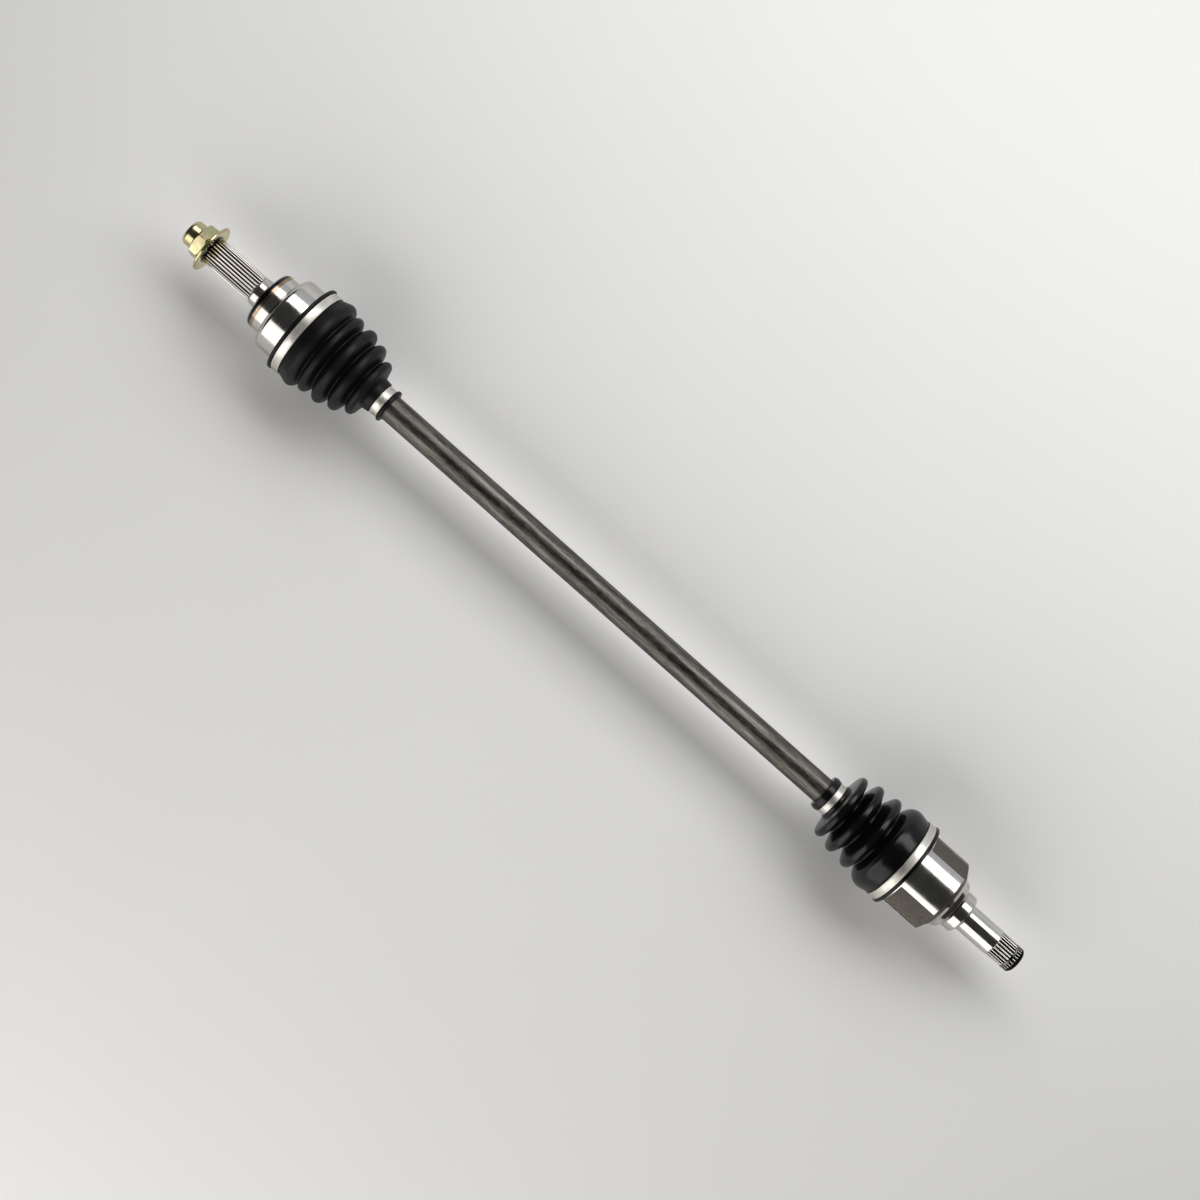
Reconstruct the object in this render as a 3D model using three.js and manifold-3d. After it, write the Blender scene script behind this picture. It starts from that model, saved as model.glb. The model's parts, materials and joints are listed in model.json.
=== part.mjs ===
// CV axle: one of a car's two front drive shafts, in millimetres, +Z up.
// X runs along the axle, from the wheel end (-X) to the gearbox end (+X). The origin is on the axis, halfway.
// A fixed ball joint is at the wheel end and a plunging tripod joint at the gearbox end, each under a rubber boot.
import * as THREE from 'three';
import { mergeVertices } from 'three/addons/utils/BufferGeometryUtils.js';
import Module from 'manifold-3d';

const wasm = await Module();
wasm.setup();

// ---- driving dimensions ----
const AXLE_LENGTH = 951;
const GAP = 0.3; // running gap between pieces that nearly touch
const ROUND = 28; // sides of every large round piece, so that nested pieces keep an even gap
const SMALL_ROUND = 16;

// shaft
const BAR_R = 12.1;
const NECK_R = 10.9; // the bar's thinner ends, which clear the joints' mouths when they bend
const SPLINE_TEETH = 16;
const SPLINE_ROOT_R = 9.7;
const SPLINE_TIP_R = 10.5;
const CLIP_THICK = 1.6;
const CLIP_GROOVE_R = 8.9;

// wheel-end joint; "reach" is the distance from the joint's centre, positive towards the shaft
const OUTER_REACH = 127; // joint centre to the end of the axle
const BALL_COUNT = 6;
const BALL_R = 7.15;
const BALL_PITCH_R = 24.5;
const TRACK_CLEARANCE = 1.7;
const RACE_R = 20.9;
const RACE_HALF = 10.5;
const CAGE_INNER_R = 21.3;
const CAGE_OUTER_R = 27.2;
const CAGE_HALF = 12;
const BELL_BORE_R = 27.8;
const BELL_BORE_DEPTH = 24;
const BELL_R = 36.75;
const BELL_MOUTH = 15;
const BELL_BACK = -22.1;
const BELL_EDGE = 4.6;
const SHOULDER_R = 27.7;
const SHOULDER_END = -39;
const SHOULDER_EDGE = 3.2;
const WHEEL_NECK_R = 13.8;
const WHEEL_NECK_END = -48.5;
const WHEEL_SPLINE_R = 13;
const WHEEL_SPLINE_DEPTH = 1.1;
const WHEEL_SPLINE_TEETH = 26;
const WHEEL_SPLINE_END = -101.3;
const THREAD_R = 9.9;
const THREAD_END = -125.6;
const MAX_BEND = 20; // degrees: how far a ball rolls along its track, either way

// nut and washer on the wheel end
const WASHER_R = 22.9;
const WASHER_THICK = 4.6;
const WASHER_DISH = 0.5; // how deep the washer's middle is sunk, which keeps it off the spline
const NUT_FLATS = 30;
const NUT_HEX = 10;
const NUT_TURN = -9; // degrees about the axle, from a corner on top
const NUT_COLLAR_R = 12.1;
const NUT_COLLAR = 10.5;
const THREAD_CLEARANCE = 0.4;

// gearbox-end joint; "reach" again runs from the joint's centre towards the shaft
const INNER_REACH = 120;
const TULIP_R = 36.1;
const TULIP_MOUTH = 20.5;
const TULIP_BACK = -36.5;
const TULIP_FLOOR = -29.7;
const TULIP_EDGE = 3;
const TULIP_BORE_R = 17.5;
const TULIP_MOUTH_R = 23.9;
const LOBE_GAP = 32; // width of the flat between two of the cup's three lobes
const LOBE_GAP_R = 31.2; // from the axis to that flat
const LOBE_GAP_START = 3.4; // the cup is round from its mouth to here, under the boot
const BACK_R = 25.2; // the cup's back slopes in to this radius
const STEP_START = -41.2;
const STEP_R = 23.3;
const STEP_END = -45.8;
const COLLAR_START = -49;
const COLLAR_R = 18.7;
const COLLAR_END = -59.3;
const STUB_R = 12.8;
const STUB_SPLINE_START = -93.7;
const STUB_SPLINE_R = 12.3;
const STUB_SPLINE_DEPTH = 1;
const STUB_SPLINE_TEETH = 25;
const STUB_CLIP_AT = 7; // from the end of the axle
const ROLLER_COUNT = 3;
const TRIPOD_TURN = 6.5; // degrees about the axle, from a roller on top
const ROLLER_PITCH_R = 21;
const ROLLER_R = 11;
const ROLLER_WIDTH = 9;
const ROLLER_BORE_R = 8.3;
const ROLLER_TRACK_R = 12.4;
const NEEDLE_RING_R = 8;
const TRUNNION_R = 6;
const TRUNNION_END = 28;
const HUB_R = 14;
const HUB_HALF = 9.5;

// boots: [reach, share] of each crest and valley of the bellows, and the wall. A share is how far out the fold is:
// 0 at the bar's surface and 1 at the housing's.
const BOOT_WALL = 2;
const OUTER_BOOT_START = -0.1;
const OUTER_BAND = [3.5, 11.1];
const OUTER_BAND_R = BELL_R + 5.65;
const OUTER_FOLDS = [
  ['crest', 21.5, 1.3144], ['valley', 29.5, 1.0791], ['crest', 33.8, 1.144], ['valley', 41.9, 0.8722],
  ['crest', 50.1, 1.1237], ['valley', 57.9, 0.8398], ['crest', 64.8, 0.9493], ['valley', 72.6, 0.5761],
  ['crest', 78.2, 0.6491],
];
const OUTER_BOOT_SPLIT = 3; // the fold where the boot's two halves part
const OUTER_NECK = [85.1, 103];
const OUTER_NECK_BAND = [91.5, 99];
const OUTER_NECK_BAND_R = BAR_R + 2.2;
const INNER_BOOT_START = 5.3;
const INNER_BAND = [8.5, 15.9];
const INNER_BAND_R = TULIP_R + 4.8;
const INNER_FOLDS = [
  ['crest', 26, 1.2458], ['valley', 41.1, 0.8625], ['crest', 47.6, 1.0625], ['valley', 57.5, 0.6167],
  ['crest', 66.2, 0.9917], ['valley', 74.5, 0.6083], ['crest', 81.3, 0.8458],
];
const INNER_BOOT_SPLIT = 3;
const INNER_NECK = [88.2, 102.5];
const INNER_NECK_BAND = [89.1, 95.1];
const INNER_NECK_BAND_R = BAR_R + 3.8;
const LIP = 2.6; // how far a boot's end lip stands above the seat of its clamp
const BAND_THICK = 1;
const EAR_HEIGHT = 3.6;
const EAR_WIDTH = 9;
const EAR_TURN = -135; // degrees from +Y: the clamps' pinched ears sit low on one side

// ---- places that follow from the sizes ----
const OUTER_CENTRE = -AXLE_LENGTH / 2 + OUTER_REACH;
const INNER_CENTRE = AXLE_LENGTH / 2 - INNER_REACH;
const TRACK_R = BALL_R + TRACK_CLEARANCE;
const JOINT_SPAN = INNER_CENTRE - OUTER_CENTRE;
const OUTER_SHAFT_END = RACE_HALF + 4;
const INNER_SHAFT_END = HUB_HALF + 4.5;
const TRIPOD_ANGLE = THREE.MathUtils.degToRad(TRIPOD_TURN);
const WASHER_INNER = WHEEL_SPLINE_END - GAP;
const NUT_START = WASHER_INNER - WASHER_THICK - GAP;
const NUT_END = NUT_START - NUT_HEX - NUT_COLLAR;

// ---- materials ----
const metal = (color, roughness = 0.3) => new THREE.MeshStandardMaterial({ color, roughness, metalness: 1 });
const POLISHED_STEEL = { color: 0xb9b6ae, roughness: 0.22 };
const DARK_STEEL = { color: 0x4b4a47, roughness: 0.5 };
const HARD_STEEL = { color: 0xa8abae, roughness: 0.15 };
const SPRING_STEEL = { color: 0x6c6b68, roughness: 0.35 };
const BAND_STEEL = { color: 0xbdbab0, roughness: 0.4 };
const ZINC = { color: 0xc2b884, roughness: 0.35 };
const finish = ({ color, roughness }) => metal(color, roughness);
const rubber = (color, roughness) => new THREE.MeshStandardMaterial({ color, roughness, metalness: 0 });

// ---- shape helpers ----

// A closed geometry as a solid, with shared vertices merged and its faces turned outwards.
function solidOf(geometry) {
  const bare = geometry.clone();
  bare.deleteAttribute('normal');
  bare.deleteAttribute('uv');
  const merged = mergeVertices(bare, 1e-4);
  const place = merged.getAttribute('position');
  const corners = merged.index.array;
  const kept = [];
  const a = new THREE.Vector3();
  const b = new THREE.Vector3();
  const c = new THREE.Vector3();
  let volume = 0;
  for (let i = 0; i < corners.length; i += 3) {
    const [p, q, r] = [corners[i], corners[i + 1], corners[i + 2]];
    if (p === q || q === r || r === p) continue;
    a.fromBufferAttribute(place, p);
    b.fromBufferAttribute(place, q);
    c.fromBufferAttribute(place, r);
    volume += a.dot(b.cross(c));
    kept.push(p, q, r);
  }
  if (volume < 0) kept.reverse();
  return new wasm.Manifold(new wasm.Mesh({
    numProp: 3,
    vertProperties: new Float32Array(place.array),
    triVerts: new Uint32Array(kept),
  }));
}

function geometryOf(solid) {
  const mesh = solid.getMesh();
  const geometry = new THREE.BufferGeometry();
  geometry.setAttribute('position', new THREE.BufferAttribute(new Float32Array(mesh.vertProperties), 3));
  geometry.setIndex(new THREE.BufferAttribute(new Uint32Array(mesh.triVerts), 1));
  geometry.computeVertexNormals();
  return geometry;
}

// A solid of revolution about X from a closed outline of [x, radius] points.
function turned(outline, sides = ROUND) {
  const points = outline.map(([x, r]) => new THREE.Vector2(r, x));
  const onAxis = outline[0][1] === 0 && outline[outline.length - 1][1] === 0;
  if (!onAxis) points.push(points[0].clone());
  return solidOf(new THREE.LatheGeometry(points, sides).rotateZ(-Math.PI / 2));
}

// Points on a circle in the [x, radius] plane, angles in degrees from +x.
function arc(x, r, radius, from, to, steps) {
  return Array.from({ length: steps + 1 }, (_, i) => {
    const angle = THREE.MathUtils.degToRad(from + ((to - from) * i) / steps);
    return [x + radius * Math.cos(angle), r + radius * Math.sin(angle)];
  });
}

// A flat outline in the YZ plane, pulled along X from x0 to x1.
function prism(shape, x0, x1, curveSegments = 3) {
  const geometry = new THREE.ExtrudeGeometry(shape, { depth: x1 - x0, bevelEnabled: false, curveSegments });
  return solidOf(geometry.rotateY(Math.PI / 2).translate(x0, 0, 0));
}

// A bar with straight spline teeth, grown all over by a clearance.
function splined(rootR, tipR, teeth, x0, x1, clearance = 0) {
  const pitch = (2 * Math.PI) / teeth;
  const outline = [];
  for (let tooth = 0; tooth < teeth; tooth++) {
    for (const [share, radius] of [[-0.11, rootR], [0.11, rootR], [0.25, tipR], [0.75, tipR]]) {
      const angle = (tooth + share) * pitch;
      outline.push(new THREE.Vector2(Math.cos(angle), Math.sin(angle)).multiplyScalar(radius + clearance));
    }
  }
  return prism(new THREE.Shape(outline), x0, x1);
}

// A block with its length along X, its width across and its height from one radius to another, turned about X.
function radialBlock(x0, x1, width, r0, r1, angle) {
  const geometry = new THREE.BoxGeometry(x1 - x0, width, r1 - r0);
  geometry.translate((x0 + x1) / 2, 0, (r0 + r1) / 2);
  return solidOf(geometry.rotateX(angle));
}

// A tube that follows a meridian of the ball joint: the way that one ball rolls.
function ballTrack(from, to, angle) {
  class Meridian extends THREE.Curve {
    getPoint(t, target = new THREE.Vector3()) {
      const swing = THREE.MathUtils.degToRad(from + (to - from) * t);
      return target.set(BALL_PITCH_R * Math.sin(swing), 0, BALL_PITCH_R * Math.cos(swing));
    }
  }
  const circle = new THREE.Shape().absarc(0, 0, TRACK_R, 0, 2 * Math.PI);
  const settings = { extrudePath: new Meridian(), steps: 7, curveSegments: 8, bevelEnabled: false };
  return solidOf(new THREE.ExtrudeGeometry(circle, settings).rotateX(angle));
}

const around = (count, make) => Array.from({ length: count }, (_, i) => make((2 * Math.PI * i) / count, i));
const without = (solid, cuts) => cuts.reduce((left, cut) => left.subtract(cut), solid);
const joined = (solids) => solids.reduce((sum, next) => sum.add(next));

function piece(name, solid, material) {
  const mesh = new THREE.Mesh(geometryOf(solid), material);
  mesh.name = name;
  return mesh;
}

// ---- shaft ----
const OUTER_RACE_FACE = OUTER_CENTRE + RACE_HALF;
const HUB_FACE = INNER_CENTRE - HUB_HALF;
const RING_THICK = 1.8;
const RING_GROOVE_R = NECK_R - 1.1;
const NECK_LENGTH = 40; // from each joint's centre to the start of the full bar

function shaft() {
  const start = OUTER_CENTRE - OUTER_SHAFT_END;
  const end = INNER_CENTRE + INNER_SHAFT_END;
  const core = SPLINE_ROOT_R - 0.25;
  const outerClip = OUTER_CENTRE - RACE_HALF - GAP;
  const innerClip = INNER_CENTRE + HUB_HALF + GAP;
  const groove = CLIP_THICK + 2 * GAP;
  const ringGroove = RING_THICK + 2 * GAP;
  const body = turned([
    [start, 0], [start, core - 0.8], [start + 0.8, core],
    [outerClip - CLIP_THICK - GAP, core], [outerClip - CLIP_THICK - GAP, CLIP_GROOVE_R],
    [outerClip - CLIP_THICK - GAP + groove, CLIP_GROOVE_R], [outerClip - CLIP_THICK - GAP + groove, core],
    [OUTER_RACE_FACE, core], [OUTER_RACE_FACE, RING_GROOVE_R],
    [OUTER_RACE_FACE + ringGroove, RING_GROOVE_R], [OUTER_RACE_FACE + ringGroove, NECK_R],
    [OUTER_CENTRE + NECK_LENGTH, NECK_R], [OUTER_CENTRE + NECK_LENGTH + 8, BAR_R],
    [INNER_CENTRE - NECK_LENGTH - 8, BAR_R], [INNER_CENTRE - NECK_LENGTH, NECK_R],
    [HUB_FACE - ringGroove, NECK_R], [HUB_FACE - ringGroove, RING_GROOVE_R],
    [HUB_FACE, RING_GROOVE_R], [HUB_FACE, core],
    [innerClip - GAP, core], [innerClip - GAP, CLIP_GROOVE_R],
    [innerClip - GAP + groove, CLIP_GROOVE_R], [innerClip - GAP + groove, core],
    [end - 0.8, core], [end, core - 0.8], [end, 0],
  ]);
  const teeth = (x0, x1) => splined(SPLINE_ROOT_R, SPLINE_TIP_R, SPLINE_TEETH, x0, x1);
  return joined([
    body,
    teeth(start + 0.8, outerClip - CLIP_THICK - GAP),
    teeth(outerClip + GAP, OUTER_RACE_FACE),
    teeth(HUB_FACE, innerClip - GAP),
    teeth(innerClip + CLIP_THICK + GAP, end - 0.8),
  ]);
}

// An open retaining ring in a groove, from x0 along X.
function snapRing(x0, thick, innerR, outerR, angle) {
  const ring = turned([[x0, innerR], [x0, outerR], [x0 + thick, outerR], [x0 + thick, innerR]], SMALL_ROUND);
  return ring.subtract(radialBlock(x0 - 1, x0 + thick + 1, 4, innerR / 2, outerR * 1.5, angle));
}

// A full ring that fills a groove in the shaft's neck and stops the joint sliding inwards.
function stopRing(x0) {
  return snapRing(x0, RING_THICK, RING_GROOVE_R + GAP, SPLINE_TIP_R + 2.3, 0);
}

// ---- wheel-end joint, in its own frame: origin at its centre, +X towards the shaft ----
const ballAngle = (i) => (2 * Math.PI * i) / BALL_COUNT;
const tracks = (from, to) => around(BALL_COUNT, (angle) => ballTrack(from, to, angle));
const boreTeeth = (half) => splined(
  SPLINE_ROOT_R, SPLINE_TIP_R, SPLINE_TEETH, -half - 1, half + 1, GAP);

function innerRace() {
  const edge = THREE.MathUtils.radToDeg(Math.acos(RACE_HALF / RACE_R));
  const body = turned([[-RACE_HALF, 0], ...arc(0, 0, RACE_R, 180 - edge, edge, 6), [RACE_HALF, 0]]);
  return without(body, [...tracks(-38, 38), boreTeeth(RACE_HALF)]);
}

function cage() {
  const outer = THREE.MathUtils.radToDeg(Math.acos(CAGE_HALF / CAGE_OUTER_R));
  const inner = THREE.MathUtils.radToDeg(Math.acos(CAGE_HALF / CAGE_INNER_R));
  const body = turned([
    ...arc(0, 0, CAGE_OUTER_R, 180 - outer, outer, 6),
    ...arc(0, 0, CAGE_INNER_R, inner, 180 - inner, 6),
  ]);
  const half = BALL_R + GAP;
  const windows = around(BALL_COUNT, (angle) => (
    radialBlock(-half, half, 2 * (BALL_R + 1.4), CAGE_INNER_R / 2, CAGE_OUTER_R + 4, angle)));
  return without(body, windows);
}

function ball(i) {
  const geometry = new THREE.SphereGeometry(BALL_R, 12, 8);
  return solidOf(geometry.translate(0, 0, BALL_PITCH_R).rotateX(ballAngle(i)));
}

function outerHousing() {
  const root = WHEEL_SPLINE_R - WHEEL_SPLINE_DEPTH;
  const outside = [
    [THREAD_END, 0], [THREAD_END, THREAD_R - 1.2], [THREAD_END + 1.2, THREAD_R],
    [WHEEL_SPLINE_END - 1.2, THREAD_R], [WHEEL_SPLINE_END, THREAD_R - 0.8], [WHEEL_SPLINE_END, root - 0.25],
    [WHEEL_NECK_END, root - 0.25], [WHEEL_NECK_END, WHEEL_NECK_R], [SHOULDER_END - 1.5, WHEEL_NECK_R],
    [SHOULDER_END, WHEEL_NECK_R + 1.5], [SHOULDER_END, SHOULDER_R - SHOULDER_EDGE],
    [SHOULDER_END + SHOULDER_EDGE, SHOULDER_R],
    [BELL_BACK, SHOULDER_R], ...arc(BELL_BACK + BELL_EDGE, BELL_R - BELL_EDGE, BELL_EDGE, 180, 90, 3),
    [BELL_MOUTH - 1, BELL_R], [BELL_MOUTH, BELL_R - 1],
  ];
  const floorAngle = THREE.MathUtils.radToDeg(Math.acos(-BELL_BORE_DEPTH / BELL_BORE_R));
  const coneStart = 70; // degrees from +X, where the ball-shaped bore opens into the 45 degree mouth
  const bore = arc(0, 0, BELL_BORE_R, coneStart, floorAngle, 9);
  const [coneX, coneR] = bore[0];
  const mouthR = coneR + BELL_MOUTH - coneX;
  const body = turned([...outside, [BELL_MOUTH, mouthR], ...bore, [-BELL_BORE_DEPTH, 0]]);
  const rolled = THREE.MathUtils.radToDeg(BALL_R / BALL_PITCH_R) + MAX_BEND + 2;
  const teeth = splined(root, WHEEL_SPLINE_R, WHEEL_SPLINE_TEETH, WHEEL_SPLINE_END, WHEEL_NECK_END + 1);
  return without(body, tracks(-rolled, 38)).add(teeth);
}

function washer() {
  const hole = THREAD_R + THREAD_CLEARANCE;
  const outer = WASHER_INNER - WASHER_THICK;
  return turned([
    [WASHER_INNER - WASHER_DISH, hole], [WASHER_INNER - WASHER_DISH, WHEEL_SPLINE_R + 1],
    [WASHER_INNER, WHEEL_SPLINE_R + 1 + WASHER_DISH], [WASHER_INNER, WASHER_R - 0.6],
    [WASHER_INNER - 0.6, WASHER_R], [outer + 1.1, WASHER_R], [outer + 0.6, WASHER_R - 0.8],
    [outer, NUT_FLATS / 2 + 2.6], [outer, hole],
  ]);
}

function axleNut() {
  const corner = NUT_FLATS / Math.sqrt(3);
  const hexagon = new THREE.Shape(around(6, (angle) => new THREE.Vector2(
    corner * Math.cos(angle), corner * Math.sin(angle))));
  const hexEnd = NUT_START - NUT_HEX;
  const chamfer = turned([
    [NUT_START, 0], [NUT_START, NUT_FLATS / 2 + 0.4], [NUT_START - 1, corner],
    [hexEnd + 1.6, corner], [hexEnd, NUT_FLATS / 2 - 0.4], [hexEnd, 0],
  ]);
  const collar = turned([
    [hexEnd + 1, 0], [hexEnd + 1, NUT_COLLAR_R], [NUT_END + 1.6, NUT_COLLAR_R],
    [NUT_END + 0.5, NUT_COLLAR_R - 0.5], [NUT_END, NUT_COLLAR_R - 1.2], [NUT_END, 0],
  ]);
  const hole = turned([
    [NUT_START + 1, 0], [NUT_START + 1, THREAD_R + THREAD_CLEARANCE],
    [NUT_END - 1, THREAD_R + THREAD_CLEARANCE], [NUT_END - 1, 0],
  ]);
  const flats = prism(hexagon, hexEnd, NUT_START).rotate([NUT_TURN, 0, 0]).intersect(chamfer);
  return flats.add(collar).subtract(hole);
}

// ---- gearbox-end joint, in its own frame: origin at its centre, +X towards the shaft ----

function innerHousing() {
  const end = -INNER_REACH;
  const root = STUB_SPLINE_R - STUB_SPLINE_DEPTH;
  const core = root - 0.25;
  const clipAt = end + STUB_CLIP_AT;
  const outside = [
    [end, 0], [end, core - 1], [end + 1, core],
    [clipAt, core], [clipAt, core - 1.4], [clipAt + CLIP_THICK + 2 * GAP, core - 1.4],
    [clipAt + CLIP_THICK + 2 * GAP, core], [STUB_SPLINE_START, core], [STUB_SPLINE_START, STUB_R],
    [COLLAR_END - 1.5, STUB_R], [COLLAR_END, STUB_R + 1.5], [COLLAR_END, COLLAR_R - 1.5],
    [COLLAR_END + 1.5, COLLAR_R], [COLLAR_START, COLLAR_R], [STEP_END, STEP_R], [STEP_START, BACK_R],
    ...arc(TULIP_BACK + TULIP_EDGE, TULIP_R - TULIP_EDGE, TULIP_EDGE, 180, 90, 3),
    [TULIP_MOUTH - 1, TULIP_R], [TULIP_MOUTH, TULIP_R - 1],
  ];
  const flare = 17; // length of the central bore's flared mouth
  const body = turned([
    ...outside, [TULIP_MOUTH, TULIP_MOUTH_R], [TULIP_MOUTH - flare, TULIP_BORE_R],
    [TULIP_FLOOR, TULIP_BORE_R], [TULIP_FLOOR, 0],
  ]);
  const slots = around(ROLLER_COUNT, (angle) => {
    const round = new THREE.CylinderGeometry(ROLLER_TRACK_R, ROLLER_TRACK_R, TULIP_MOUTH - TULIP_FLOOR + 1, 20);
    round.rotateZ(Math.PI / 2).translate((TULIP_MOUTH + TULIP_FLOOR + 1) / 2, 0, ROLLER_PITCH_R);
    return solidOf(round.rotateX(angle + TRIPOD_ANGLE));
  });
  const gaps = around(ROLLER_COUNT, (angle) => radialBlock(
    STEP_START, LOBE_GAP_START, LOBE_GAP, LOBE_GAP_R, TULIP_R + 5, angle + TRIPOD_ANGLE + Math.PI / ROLLER_COUNT));
  const teeth = (x0, x1) => splined(root, STUB_SPLINE_R, STUB_SPLINE_TEETH, x0, x1);
  return joined([
    without(body, [...slots, ...gaps]),
    teeth(end + 1, clipAt),
    teeth(clipAt + CLIP_THICK + 2 * GAP, STUB_SPLINE_START + 1),
  ]);
}

// A solid of revolution made along X is stood up along the trunnion: radially, at an angle about X.
const onTrunnion = (solid, angle) => solid.rotate([0, -90, 0]).rotate([THREE.MathUtils.radToDeg(angle), 0, 0]);
const trunnionAngle = (i) => (2 * Math.PI * i) / ROLLER_COUNT + TRIPOD_ANGLE;

function spider() {
  const hub = turned([
    [-HUB_HALF, 0], [-HUB_HALF, HUB_R - 1.5], [-HUB_HALF + 1.5, HUB_R],
    [HUB_HALF - 1.5, HUB_R], [HUB_HALF, HUB_R - 1.5], [HUB_HALF, 0],
  ]);
  const groove = ROLLER_PITCH_R + ROLLER_WIDTH / 2 + GAP;
  const depth = 0.9;
  const trunnions = around(ROLLER_COUNT, (angle) => onTrunnion(turned([
    [HUB_R / 2, 0], [HUB_R / 2, TRUNNION_R], [groove, TRUNNION_R], [groove, TRUNNION_R - depth],
    [groove + 1 + 2 * GAP, TRUNNION_R - depth], [groove + 1 + 2 * GAP, TRUNNION_R],
    [TRUNNION_END - 0.6, TRUNNION_R], [TRUNNION_END, TRUNNION_R - 0.6], [TRUNNION_END, 0],
  ], SMALL_ROUND), angle + TRIPOD_ANGLE));
  return joined([hub, ...trunnions]).subtract(boreTeeth(HUB_HALF));
}

function roller(i) {
  const half = ROLLER_WIDTH / 2;
  const edge = THREE.MathUtils.radToDeg(Math.acos(half / ROLLER_R));
  return onTrunnion(turned([
    ...arc(ROLLER_PITCH_R, 0, ROLLER_R, 180 - edge, edge, 4),
    [ROLLER_PITCH_R + half, ROLLER_BORE_R], [ROLLER_PITCH_R - half, ROLLER_BORE_R],
  ], SMALL_ROUND), trunnionAngle(i));
}

function needleRing(i) {
  const half = ROLLER_WIDTH / 2 - GAP;
  return onTrunnion(turned([
    [ROLLER_PITCH_R - half, TRUNNION_R + GAP], [ROLLER_PITCH_R - half, NEEDLE_RING_R],
    [ROLLER_PITCH_R + half, NEEDLE_RING_R], [ROLLER_PITCH_R + half, TRUNNION_R + GAP],
  ], SMALL_ROUND), trunnionAngle(i));
}

function rollerClip(i) {
  const start = ROLLER_PITCH_R + ROLLER_WIDTH / 2 + 2 * GAP;
  return onTrunnion(snapRing(start, 1, TRUNNION_R - 0.6, TRUNNION_R + 2.2, 0), trunnionAngle(i));
}

// ---- boots and clamps, each in its own joint's frame ----

// The boot's outside, from the housing's cuff to the neck on the bar: a crest has a narrow flat, a valley is a point.
function bootOutline(folds, start, band, seatR, neck, neckBand, neckSeatR) {
  const lipR = seatR + LIP;
  const neckLipR = neckSeatR + LIP;
  const outside = [[start, lipR], [band[0] - GAP, lipR], [band[0] - GAP, seatR], [band[1] + GAP, seatR]];
  for (const [kind, x, r] of folds) {
    if (kind === 'crest') outside.push([x - 1.6, r], [x + 1.6, r]);
    else outside.push([x, r]);
  }
  outside.push([neck[0], neckLipR], [neckBand[0] - GAP, neckLipR], [neckBand[0] - GAP, neckSeatR]);
  outside.push([neckBand[1] + GAP, neckSeatR], [neckBand[1] + GAP, neckLipR], [neck[1], neckLipR]);
  return outside;
}

// One half of a boot: a shell between the outline and the same outline moved in by the wall.
function bootHalf({ folds, start, band, seatR, cuffR, mouth, neck, neckBand, neckSeatR, split }, big) {
  const outside = bootOutline(folds, start, band, seatR, neck, neckBand, neckSeatR);
  const [, cut, cutR] = folds[split];
  const boreR = BAR_R + GAP;
  const inside = folds.map(([kind, x, r]) => [x, r - BOOT_WALL * (kind === 'crest' ? 1.15 : 1)]);
  if (big) {
    const skin = outside.filter(([x]) => x < cut - 1);
    const lining = inside.filter(([x]) => x < cut - 1).reverse();
    return turned([
      ...skin, [cut - GAP / 2, cutR], [cut - GAP / 2, cutR - BOOT_WALL], ...lining,
      [mouth + GAP, cuffR], [start, cuffR],
    ]);
  }
  const skin = outside.filter(([x]) => x > cut + 1);
  const lining = inside.filter(([x]) => x > cut + 1).reverse();
  return turned([
    [cut + GAP / 2, cutR], ...skin, [neck[1], boreR], [neck[0], boreR], ...lining,
    [cut + GAP / 2, cutR - BOOT_WALL],
  ]);
}

// A flat band round a boot's end, with the folded ear that tightens it.
function clamp([x0, x1], outerR) {
  const innerR = outerR - BAND_THICK;
  const inset = 0.6;
  const band = turned([[x0, innerR], [x0, outerR], [x1, outerR], [x1, innerR]]);
  const height = Math.min(EAR_HEIGHT, outerR / 4);
  const half = Math.min(EAR_WIDTH, outerR / 2) / 2;
  const foot = Math.sqrt(outerR ** 2 - half ** 2) * Math.cos(Math.PI / ROUND) - BAND_THICK / 2;
  const ear = new THREE.Shape([
    new THREE.Vector2(-half, foot), new THREE.Vector2(half, foot),
    new THREE.Vector2(half * 0.62, outerR + height * 0.45), new THREE.Vector2(half * 0.8, outerR + height * 0.8),
    new THREE.Vector2(half * 0.5, outerR + height), new THREE.Vector2(-half * 0.5, outerR + height),
    new THREE.Vector2(-half * 0.8, outerR + height * 0.8), new THREE.Vector2(-half * 0.62, outerR + height * 0.45),
  ]);
  return band.add(prism(ear, x0 + inset, x1 - inset).rotate([EAR_TURN, 0, 0]));
}

// The folds' radii, from their shares of the way from the bar out to the housing.
const foldRadii = (folds, housingR) => folds.map(([kind, x, share]) => [kind, x, BAR_R + share * (housingR - BAR_R)]);

const OUTER_BOOT = {
  folds: foldRadii(OUTER_FOLDS, BELL_R), start: OUTER_BOOT_START, band: OUTER_BAND, seatR: OUTER_BAND_R - BAND_THICK - GAP,
  cuffR: BELL_R + GAP, mouth: BELL_MOUTH, neck: OUTER_NECK, neckBand: OUTER_NECK_BAND,
  neckSeatR: OUTER_NECK_BAND_R - BAND_THICK - GAP, split: OUTER_BOOT_SPLIT,
};
const INNER_BOOT = {
  folds: foldRadii(INNER_FOLDS, TULIP_R), start: INNER_BOOT_START, band: INNER_BAND, seatR: INNER_BAND_R - BAND_THICK - GAP,
  cuffR: TULIP_R + GAP, mouth: TULIP_MOUTH, neck: INNER_NECK, neckBand: INNER_NECK_BAND,
  neckSeatR: INNER_NECK_BAND_R - BAND_THICK - GAP, split: INNER_BOOT_SPLIT,
};

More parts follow.
